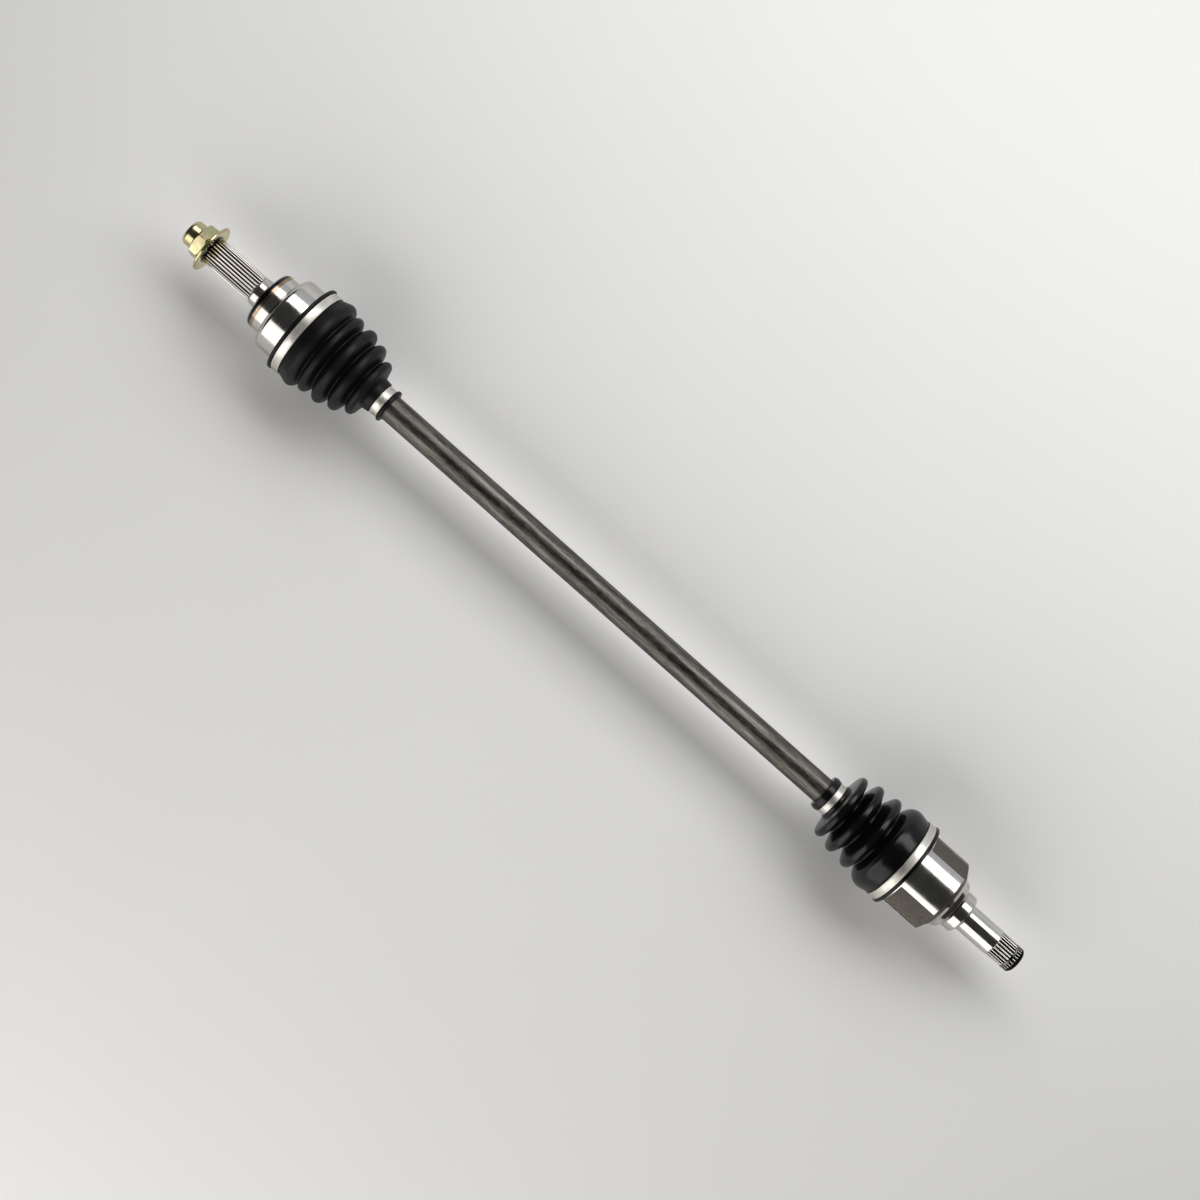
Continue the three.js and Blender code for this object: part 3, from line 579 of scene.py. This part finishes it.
class AXLE_OT_bar(PieceOperator, bpy.types.Operator):
    """Spins the bar with its thinner ends, grooves and splines"""

    bl_idname = "axle.bar"
    bl_label = "Bar"

    def execute(self, context):
        low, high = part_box("shaft")
        start, end = low[0] / MM, high[0] / MM
        bar = self.mm("bar_radius")
        neck, tip, root, groove = 10.9, 10.5, 9.7, 8.9
        race, hub = reach_of("outer_inner_race", OUTER_CENTRE, 1)[1], reach_of("spider", INNER_CENTRE, -1)[1]
        race_end, hub_end = OUTER_CENTRE + race, INNER_CENTRE - hub
        out_clip, in_clip = OUTER_CENTRE - race - 2.2, INNER_CENTRE + hub + 2.2
        taper = 48
        corners = [
            (start, 0, 0), (start, tip - 1, 0), (start + 1, tip, 0), (out_clip, tip, 0),
            (out_clip, groove, 0.2), (out_clip + 2.2, groove, 0.2), (out_clip + 2.2, tip, 0),
            (race_end - 0.2, tip, 0),
            (race_end, neck - 1.1, 0), (race_end + 2.4, neck - 1.1, 0.2), (race_end + 2.4, neck, 0.3),
            (OUTER_CENTRE + taper - 8, neck, 6), (OUTER_CENTRE + taper, bar, 6),
            (OUTER_CENTRE + taper + 30, bar, 0), (-100, bar, 0), (0, bar, 0), (100, bar, 0),
            (INNER_CENTRE - taper - 30, bar, 0), (INNER_CENTRE - taper, bar, 6),
            (INNER_CENTRE - taper + 8, neck, 6), (hub_end - 2.4, neck, 0.3), (hub_end - 2.4, neck - 1.1, 0.2),
            (hub_end, neck - 1.1, 0), (hub_end + 0.2, tip, 0), (in_clip - 2.2, tip, 0),
            (in_clip - 2.2, groove, 0.2), (in_clip, groove, 0.2), (in_clip, tip, 0),
            (end - 1, tip, 0), (end, tip - 1, 0), (end, 0, 0),
        ]
        teeth = 16
        piece = spun("bar", rounded(corners), 0, 1, teeth * 8, False)
        cut_teeth(piece, start + 0.9, race_end - 0.1, teeth, tip, tip - root)
        cut_teeth(piece, hub_end + 0.1, end - 0.9, teeth, tip, tip - root)
        smooth(piece)
        give_finish(piece, "forged_bar")
        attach(piece, "shaft")
        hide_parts("shaft")
        return {"FINISHED"}


class AXLE_OT_outer_housing(PieceOperator, bpy.types.Operator):
    """Spins the wheel-end housing: thread, spline, neck, shoulder and bell"""

    bl_idname = "axle.outer_housing"
    bl_label = "Wheel-end housing"

    def execute(self, context):
        teeth, tip = 26, 13.0
        start, mouth = reach_of("outer_housing", OUTER_CENTRE, 1)
        bell, depth = self.mm("bell_radius"), self.mm("tooth_depth")
        spline_end, spline_start, shoulder, back = -101.3, -48.5, -39.0, -22.1
        thread, pitch = 9.9, self.mm("thread_pitch")
        bore = [(*point(math.radians(70 + (149.7 - 70) * k / 12), 27.8), 0) for k in range(13)]
        corners = [
            (start, 0, 0), (start, thread - 1.3, 0), (start + 1.3, thread - 0.4, 0),
            *turned_line(start + 1.5, spline_end - 3, thread - 0.95, thread, pitch),
            (spline_end - 2.6, thread - 1.1, 0.4), (spline_end, thread - 1.1, 0.4),
            (spline_end, tip - 0.9, 0), (spline_end + 0.9, tip, 0), (spline_end + 20, tip, 0),
            (spline_start - 18, tip, 0),
            (spline_start - 3.4, tip, 0), (spline_start - 0.6, tip, 0), (spline_start, 13.35, 0),
            (spline_start + 0.5, 13.8, 0.3),
            (shoulder - 2.2, 13.8, 1.6), (shoulder - 2.0, 15.2, 0.9), (shoulder, 15.6, 0.4),
            (shoulder, 27.7, 4.2), (back - 1.4, 27.7, 0.7), (back - 1.4, 27.0, 0.3), (back, 27.0, 0.5),
            (back + 0.1, bell, 5.4), (mouth, bell, 0.8), (mouth, 31.7, 0.3), *bore,
            (-24, 13.8, 0), (-24, 0, 0),
        ]
        piece = spun("wheel_end_housing", rounded(corners), OUTER_CENTRE, 1, teeth * 8, False)
        far, near = OUTER_CENTRE + spline_end - 0.1, OUTER_CENTRE + spline_start - 3.2
        cut_teeth(piece, far, near, teeth, tip, depth)
        smooth(piece, 38)
        give_finish(piece, "machined_steel")
        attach(piece, "outer_housing")
        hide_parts("outer_housing")
        return {"FINISHED"}


class AXLE_OT_inner_housing(PieceOperator, bpy.types.Operator):
    """Spins the gearbox-end housing and cuts the flats between its cup's three lobes"""

    bl_idname = "axle.inner_housing"
    bl_label = "Gearbox-end housing"

    def execute(self, context):
        teeth, tip = 25, 12.3
        end, mouth = reach_of("inner_housing", INNER_CENTRE, -1)
        cup, depth = self.mm("cup_radius"), self.mm("tooth_depth")
        back, step, collar, spline = -36.5, -45.8, -59.3, -93.7
        clip = end + 7
        corners = [
            (end, 0, 0), (end, tip - 2.4, 0.3), (end + 1.6, tip - 0.7, 0.3), (end + 2.4, tip - 0.2, 0.2),
            (clip, tip - 0.2, 0.2), (clip, tip - 1.8, 0.2),
            (clip + 2.2, tip - 1.8, 0.2), (clip + 2.2, tip, 0), (clip + 9, tip, 0), (spline - 2.4, tip, 0),
            (spline - 0.4, tip, 0), (spline, 12.8, 0), (collar - 1.6, 12.8, 1.0), (collar, 14.4, 0.5),
            (collar, 17.2, 0.5), (collar + 1.5, 18.7, 0.8), (-49, 18.7, 1.2), (step, 23.3, 1.4),
            (-41.2, 25.2, 1.5), (back, 30.5, 2.0), (back + 1.6, cup, 2.6), (mouth, cup, 0.8),
            (mouth, 23.9, 0.4), (mouth - 17, 17.5, 3), (-29.7, 17.5, 2), (-29.7, 0, 0),
        ]
        piece = spun("gearbox_end_housing", rounded(corners), INNER_CENTRE, -1, teeth * 8, False)
        for lobe in range(3):
            self.cut_flat(piece, TRIPOD_TURN + 60 + 120 * lobe)
        cut_teeth(piece, INNER_CENTRE - end - 2.2, INNER_CENTRE - spline + 2.3, teeth, tip, depth)
        smooth(piece, 38)
        give_finish(piece, "machined_steel")
        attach(piece, "inner_housing")
        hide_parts("inner_housing")
        return {"FINISHED"}

    def cut_flat(self, piece, degrees):
        """Cuts one of the flats between the lobes, with rounded corners."""
        x0, x1, width, low, high = -42, 3.4, 32, 31.2, 42
        deselect()
        bpy.ops.mesh.primitive_cube_add(
            size=1, location=((INNER_CENTRE - (x0 + x1) / 2) * MM, 0, (low + high) / 2 * MM),
            scale=((x1 - x0) * MM, width * MM, (high - low) * MM))
        block = named("flat_cutter")
        edge = block.modifiers.new("edge", "BEVEL")
        edge.width = 1.4 * MM
        edge.segments = 4
        bpy.ops.object.modifier_apply(modifier=edge.name)
        turn_about_axle(block, degrees)
        combine(piece, block, "DIFFERENCE")


def boot_lines(folds, cuff, neck, wall, cuff_bore, neck_bore):
    """A boot's outside and lining, from its cuff on the housing to its neck on the bar."""
    outside = rounded(cuff)[:-1] + finely(rolling(folds), 1.1) + rounded(neck)[1:]
    inner = []
    for kind, x, r, fillet in folds[1:-1]:
        thinner = max(fillet - wall, 0.4) if kind == "crest" else fillet + wall * 0.7
        inner.append((kind, x, r - wall, thinner))
    first, last = folds[0], folds[-1]
    lining = rolling([("point", first[1], cuff_bore, 0), *inner, ("point", last[1] + 1.5, neck_bore, 0)], 14)
    return outside, finely(lining, 2.2)


def cut_line(line, x0, x1):
    """The part of an outline between two places along it, with a point on each."""
    kept = []
    for a, b in zip(line, line[1:]):
        if x0 <= a[0] <= x1:
            kept.append(a)
        for x in sorted((x0, x1), reverse=a[0] > b[0]):
            if min(a[0], b[0]) < x < max(a[0], b[0]):
                kept.append(a.lerp(b, (x - a[0]) / (b[0] - a[0])))
    if x0 <= line[-1][0] <= x1:
        kept.append(line[-1])
    return kept


def build_boot(name, slot, lines, ends, seams, centre, side, sides, stands_for):
    """Spins a boot as stretches, one for each joint that it crosses. They meet in valleys or on flanks."""
    outside, lining = lines
    stops = [ends[0], *seams, ends[1]]
    for i, (a, b) in enumerate(zip(stops, stops[1:])):
        skin = cut_line(outside, a, b)
        inner = cut_line(lining, a, b)
        piece = spun(f"{name}_{i + 1}", skin + inner[::-1], centre, side, sides, True)
        smooth(piece, 50)
        give_finish(piece, slot)
        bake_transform(piece)
        if i in stands_for:
            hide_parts(stands_for[i])


class AXLE_OT_outer_boot(PieceOperator, bpy.types.Operator):
    """Spins the wheel-end boot's bellows"""

    bl_idname = "axle.outer_boot"
    bl_label = "Wheel-end boot"

    def execute(self, context):
        bell = self.mm("bell_radius")
        seat, neck_seat, bore = 41.1, 13.0, self.mm("bar_radius") + 0.3
        cuff = [
            (-0.1, bell + 0.3, 0), (-0.1, 43.7, 1.5), (2.9, 43.7, 1.2), (3.2, seat, 0.3), (11.4, seat, 0),
        ]
        folds = [
            ("point", 11.4, seat, 0), ("valley", 13.2, 42.0, 1.6), ("crest", 21.7, 44.5, 6.0),
            ("valley", 29.6, 37.2, 0.9), ("crest", 34.6, 40.6, 4.2), ("valley", 41.9, 32.5, 0.9),
            ("crest", 50.0, 39.8, 5.5), ("valley", 57.9, 30.2, 0.9), ("crest", 64.6, 35.6, 4.8),
            ("valley", 72.6, 24.2, 0.9), ("crest", 77.8, 28.4, 4.2), ("valley", 86.2, 16.1, 2.6),
            ("point", 90.6, 15.6, 0),
        ]
        neck = [
            (90.6, 15.6, 0), (91.1, 15.3, 0.3), (91.2, neck_seat, 0.3), (99.3, neck_seat, 0.3),
            (99.5, 15.6, 0.8), (101.4, 16.1, 1.0), (103.0, 15.4, 0.8), (103.0, bore, 0),
        ]
        lines = boot_lines(folds, cuff, neck, self.mm("boot_wall"), bell + 0.3, bore)
        lines[1].insert(0, Vector((-0.1, bell + 0.3)))
        lines[1].append(Vector((103.0, bore)))
        seams = [29.6, 41.9, 57.9]
        stands_for = {0: "outer_boot_large_end", 3: "outer_boot_small_end"}
        build_boot("wheel_end_boot", "outer_boot_rubber", lines, (-0.1, 103.0), seams,
                   OUTER_CENTRE, 1, self.sizes.sides, stands_for)
        return {"FINISHED"}


class AXLE_OT_inner_boot(PieceOperator, bpy.types.Operator):
    """Spins the gearbox-end boot's bellows"""

    bl_idname = "axle.inner_boot"
    bl_label = "Gearbox-end boot"

    def execute(self, context):
        cup = self.mm("cup_radius")
        seat, neck_seat, bore = 39.6, 14.6, self.mm("bar_radius") + 0.3
        cuff = [
            (5.3, cup + 0.3, 0), (5.3, 42.0, 1.3), (8.0, 42.0, 1.1), (8.2, seat, 0.3), (16.2, seat, 0),
        ]
        folds = [
            ("point", 16.2, seat, 0), ("valley", 17.4, 40.3, 1.2), ("crest", 26.8, 42.0, 11.5),
            ("valley", 41.0, 29.4, 0.9), ("crest", 47.6, 37.7, 4.2), ("valley", 57.5, 25.2, 0.9),
            ("crest", 66.0, 36.0, 4.0), ("valley", 74.5, 21.6, 0.9), ("crest", 81.4, 32.5, 3.6),
            ("valley", 87.4, 17.8, 1.2), ("point", 88.4, 17.2, 0),
        ]
        neck = [
            (88.4, 17.2, 0), (88.8, 17.0, 0.2), (88.9, neck_seat, 0.3), (95.4, neck_seat, 0.3),
            (95.6, 16.3, 0.9), (99.0, 16.9, 1.2), (102.5, 15.9, 1.4), (102.5, bore, 0),
        ]
        lines = boot_lines(folds, cuff, neck, self.mm("boot_wall"), cup + 0.3, bore)
        lines[1].insert(0, Vector((5.3, cup + 0.3)))
        lines[1].append(Vector((102.5, bore)))
        seams = [36, 51]
        stands_for = {0: "inner_boot_large_end", 2: "inner_boot_small_end"}
        build_boot("gearbox_end_boot", "inner_boot_rubber", lines, (5.3, 102.5), seams,
                   INNER_CENTRE, -1, self.sizes.sides, stands_for)
        return {"FINISHED"}


class AXLE_OT_clamps(PieceOperator, bpy.types.Operator):
    """Spins the four clamps and folds their ears"""

    bl_idname = "axle.clamps"
    bl_label = "Clamps"

    def execute(self, context):
        for node, body, turn in (
            ("outer_boot_large_clamp", "outer_housing", -135), ("outer_boot_small_clamp", "shaft", -135),
            ("inner_boot_large_clamp", "inner_housing", 135), ("inner_boot_small_clamp", "shaft", 135),
        ):
            self.clamp(node, body, turn)
        return {"FINISHED"}

    def clamp(self, node, body, turn):
        """One band with its ear, which is turned so far from the top towards +Y."""
        low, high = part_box(node)
        x0, x1 = low[0] / MM, high[0] / MM
        outer = radius_of(node)
        inner = outer - self.mm("band_thickness")
        bead = 0.22
        corners = [
            (x0, inner, 0), (x0, outer, 0.3), (x0 + 0.9, outer, 0.25), (x0 + 1.2, outer - bead, 0.25),
            (x1 - 1.2, outer - bead, 0.25), (x1 - 0.9, outer, 0.25), (x1, outer, 0.3), (x1, inner, 0),
        ]
        line = rounded(corners)
        band = spun(node + "_band", line, 0, 1, self.sizes.sides, True)
        tail = self.tail(node, x0, x1, outer)
        turn_about_axle(tail, turn - 9)
        ear = self.ear(node, x0, x1, outer)
        turn_about_axle(ear, turn)
        join(band, tail, ear)
        smooth(band, 35)
        give_finish(band, "clamp_band")
        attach(band, body)
        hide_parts(node)

    def tail(self, node, x0, x1, outer):
        """The strip's free end, which laps over the band on one side of the ear."""
        thick = 0.55
        width = (x1 - x0) * 0.72
        middle = (x0 + x1) / 2
        deselect()
        bpy.ops.mesh.primitive_plane_add(size=MM, location=(middle * MM, 0, 0))
        piece = named(node + "_tail")
        bpy.ops.object.mode_set(mode="EDIT")
        bpy.ops.mesh.merge(type="CENTER")
        radius = (outer + thick / 2 - 0.1) * MM
        bpy.ops.transform.translate(value=(-width / 2 * MM, 0, radius))
        bpy.ops.mesh.extrude_vertices_move(TRANSFORM_OT_translate={"value": (width * MM, 0, 0)})
        bpy.ops.mesh.select_all(action="SELECT")
        bpy.ops.mesh.spin(steps=18, angle=math.radians(58), center=(0, 0, 0), axis=(1, 0, 0))
        self.thicken(piece, thick)
        return piece

    def ear(self, node, x0, x1, outer):
        """The folded ear that draws the band tight."""
        rise = min(3.6, outer / 4)
        half = min(4.5, outer / 4)
        inset = 0.5
        fold = [
            (-half * 1.25, outer - 0.35), (-half * 0.95, outer + 0.15), (-half * 0.62, outer + rise * 0.42),
            (-half * 0.8, outer + rise * 0.8), (-half * 0.5, outer + rise * 0.98), (0, outer + rise * 0.86),
            (half * 0.5, outer + rise * 0.98), (half * 0.8, outer + rise * 0.8),
            (half * 0.62, outer + rise * 0.42), (half * 0.95, outer + 0.15), (half * 1.25, outer - 0.35),
        ]
        deselect()
        y, z = fold[0]
        bpy.ops.mesh.primitive_plane_add(size=MM, location=((x0 + inset) * MM, y * MM, z * MM))
        piece = named(node + "_ear")
        bpy.ops.object.mode_set(mode="EDIT")
        bpy.ops.mesh.merge(type="CENTER")
        for (y0, z0), (y1, z1) in zip(fold, fold[1:]):
            bpy.ops.mesh.extrude_vertices_move(
                TRANSFORM_OT_translate={"value": (0, (y1 - y0) * MM, (z1 - z0) * MM)})
        bpy.ops.mesh.select_all(action="SELECT")
        bpy.ops.mesh.extrude_region_move(
            TRANSFORM_OT_translate={"value": ((x1 - x0 - 2 * inset) * MM, 0, 0)})
        self.thicken(piece, 0.7)
        return piece

    def thicken(self, piece, thick):
        """Gives a strip its thickness and soft edges."""
        pick(piece)
        solid = piece.modifiers.new("thickness", "SOLIDIFY")
        solid.thickness = thick * MM
        solid.offset = 0
        bpy.ops.object.modifier_apply(modifier=solid.name)
        edge = piece.modifiers.new("edge", "BEVEL")
        edge.width = 0.12 * MM
        edge.segments = 2
        edge.limit_method = "ANGLE"
        edge.angle_limit = math.radians(50)
        bpy.ops.object.modifier_apply(modifier=edge.name)


class AXLE_OT_nut(PieceOperator, bpy.types.Operator):
    """Shapes the axle nut and its washer"""

    bl_idname = "axle.nut"
    bl_label = "Nut and washer"

    def execute(self, context):
        self.nut()
        self.washer()
        return {"FINISHED"}

    def nut(self):
        low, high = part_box("axle_nut")
        end, start = low[0] / MM, high[0] / MM
        corner = (high[2] - low[2]) / 2 / MM
        flats = corner * math.sqrt(3) / 2
        hexagon, collar = 10.0, 12.1
        hex_end = start - hexagon
        thread, pitch = 9.9, self.mm("thread_pitch")
        deselect()
        bpy.ops.mesh.primitive_cylinder_add(
            vertices=6, radius=corner * MM, depth=hexagon * MM,
            location=((hex_end + start) / 2 * MM, 0, 0), rotation=(0, math.pi / 2, 0))
        nut = named("nut")
        turn_about_axle(nut, 90 - NUT_TURN)
        cone = spun("nut_cone", rounded([
            (hex_end, 0, 0), (hex_end, flats - 0.9, 0), (hex_end + 2.0, corner + 0.15, 0),
            (start - 1.2, corner + 0.15, 0), (start, flats + 0.4, 0), (start, 0, 0),
        ]), 0, 1, 96, False)
        combine(nut, cone, "INTERSECT")
        top = spun("nut_collar", rounded([
            (hex_end + 2, 0, 0), (hex_end + 2, 13.2, 0), (hex_end - 0.1, 13.2, 0.6),
            (hex_end - 0.5, collar, 0.8), (end + 2.6, collar, 2.2), (end, collar - 1.7, 0.5), (end, 0, 0),
        ]), 0, 1, 96, False)
        combine(nut, top, "UNION")
        bore = thread + 0.25
        hole = spun("nut_hole", rounded([
            (end - 1, 0, 0), (end - 1, bore + 1.2, 0), (end + 0.9, bore - 0.7, 0),
            *turned_line(end + 1.0, start - 1.2, bore - 0.75, bore + 0.1, pitch),
            (start - 0.9, bore - 0.7, 0), (start + 1, bore + 1.2, 0), (start + 1, 0, 0),
        ]), 0, 1, 96, False)
        combine(nut, hole, "DIFFERENCE")
        pick(nut)
        edge = nut.modifiers.new("edge", "BEVEL")
        edge.width = 0.35 * MM
        edge.segments = 3
        edge.limit_method = "ANGLE"
        edge.angle_limit = math.radians(55)
        edge.use_clamp_overlap = True
        bpy.ops.object.modifier_apply(modifier=edge.name)
        smooth(nut, 30)
        give_finish(nut, "zinc_plate")
        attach(nut, "axle_nut")
        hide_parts("axle_nut")

    def washer(self):
        low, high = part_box("axle_washer")
        out, inn = low[0] / MM, high[0] / MM
        rim = radius_of("axle_washer")
        hole = 10.4
        corners = [
            (inn - 0.9, hole, 0.3), (inn - 0.9, 15.2, 0.5), (inn - 0.1, 17.4, 0.6), (inn, rim - 1.1, 0.5),
            (inn - 0.9, rim, 0.7), (out + 2.2, rim, 1.0), (out + 1.6, rim - 1.6, 1.2), (out + 0.2, 17.6, 0.8),
            (out, 16.6, 0.4), (out, hole, 0.3), (inn - 0.9, hole, 0),
        ]
        piece = spun("washer", rounded(corners)[:-1], 0, 1, self.sizes.sides, True)
        smooth(piece)
        give_finish(piece, "zinc_plate")
        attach(piece, "axle_washer")
        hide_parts("axle_washer")


class AXLE_OT_inner_pieces(PieceOperator, bpy.types.Operator):
    """Gives the pieces inside the joints their finishes"""

    bl_idname = "axle.inner_pieces"
    bl_label = "Inner pieces"

    def execute(self, context):
        slots = {entry["node"]: entry["material_slot"] for entry in frame["record"]["subparts"]}
        for node, piece in frame["nodes"].items():
            if slots[node] in ("hardened_steel", "spring_steel"):
                piece.data.materials.clear()
                piece.data.materials.append(finish_named(slots[node]))
        return {"FINISHED"}


class AXLE_OT_stage(PieceOperator, bpy.types.Operator):
    """Adds the floor, the soft lights and the camera"""

    bl_idname = "axle.stage"
    bl_label = "Stage"

    def execute(self, context):
        self.floor()
        self.world()
        for light in (
            ("strip", 45, 1.25, 2.6, 0.62, 2.8, (1.0, 0.99, 0.97)),
            ("side_box", -64, 1.35, 2.6, 1.35, 1.5, (1.0, 0.985, 0.96)),
            ("far_box", 76, 1.5, 2.6, 0.9, 0.5, (0.9, 0.93, 1.0)),
        ):
            self.light(*light)
        self.camera()
        return {"FINISHED"}

    def floor(self):
        """A plain pale floor with a faint grain."""
        deselect()
        bpy.ops.mesh.primitive_plane_add(size=9, location=(0, 0, FLOOR_Z - FLOOR_GAP * MM))
        floor = named("floor")
        tone = tuple(bpy.context.scene.axle_colours.floor)
        n = Nodes("floor", tone, 0.0, 0.8)
        grain = n.mix(n.noise((6, 6, 6), detail=2), tone, tuple(c * 0.98 for c in tone))
        n.link(grain, n.shader.inputs["Base Color"])
        floor.data.materials.append(n.material)

    def world(self):
        world = bpy.data.worlds.new("studio")
        world.use_nodes = True
        world.node_tree.nodes["Background"].inputs["Color"].default_value = (0.05, 0.05, 0.05, 1)
        world.node_tree.nodes["Background"].inputs["Strength"].default_value = 1.0
        bpy.context.scene.world = world
        view = bpy.context.scene.view_settings
        view.view_transform = "Standard"
        view.look = "Medium High Contrast"

    def light(self, name, lean, distance, span, width, radiance, tone):
        """A long soft light along the axle, leaning from overhead towards +Y."""
        angle = math.radians(lean)
        place = (0, math.sin(angle) * distance, math.cos(angle) * distance)
        deselect()
        bpy.ops.object.light_add(type="AREA", location=place, rotation=(-angle, 0, 0))
        lamp = bpy.context.object
        lamp.name = name
        lamp.data.shape = "RECTANGLE"
        lamp.data.size = span
        lamp.data.size_y = width
        lamp.data.energy = radiance * math.pi * span * width
        lamp.data.color = tone

    def camera(self):
        """Straight above the axle, turned so that it lies across the frame from corner to corner."""
        roll = math.radians(CAMERA_ROLL)
        deselect()
        bpy.ops.object.camera_add(location=(0, -0.0043, CAMERA_HEIGHT), rotation=(0, 0, roll))
        camera = bpy.context.object
        camera.data.sensor_width = 36
        camera.data.lens = CAMERA_LENS
        camera.data.clip_end = 50
        bpy.context.scene.camera = camera


class AXLE_PT_panel(bpy.types.Panel):
    """Lists the axle's pieces, sizes and colours"""

    bl_idname = "AXLE_PT_panel"
    bl_label = "CV axle"
    bl_space_type = "VIEW_3D"
    bl_region_type = "UI"
    bl_category = "CV axle"

    def draw(self, context):
        for operator in OPERATORS:
            self.layout.operator(operator.bl_idname)
        for group in (context.scene.axle_sizes, context.scene.axle_colours):
            for name in group.bl_rna.properties.keys():
                if name not in ("rna_type", "name"):
                    self.layout.prop(group, name)


OPERATORS = [
    AXLE_OT_bar, AXLE_OT_outer_housing, AXLE_OT_inner_housing, AXLE_OT_outer_boot, AXLE_OT_inner_boot,
    AXLE_OT_clamps, AXLE_OT_nut, AXLE_OT_inner_pieces, AXLE_OT_stage,
]
CLASSES = [AxleSizes, AxleColours, *OPERATORS, AXLE_PT_panel]


def register():
    for cls in CLASSES:
        bpy.utils.register_class(cls)
    bpy.types.Scene.axle_sizes = bpy.props.PointerProperty(type=AxleSizes)
    bpy.types.Scene.axle_colours = bpy.props.PointerProperty(type=AxleColours)


def unregister():
    del bpy.types.Scene.axle_colours
    del bpy.types.Scene.axle_sizes
    for cls in reversed(CLASSES):
        bpy.utils.unregister_class(cls)


def main():
    register()
    for operator in OPERATORS:
        category, name = operator.bl_idname.split(".")
        getattr(getattr(bpy.ops, category), name)()
    deselect()


if __name__ == "__main__":
    main()
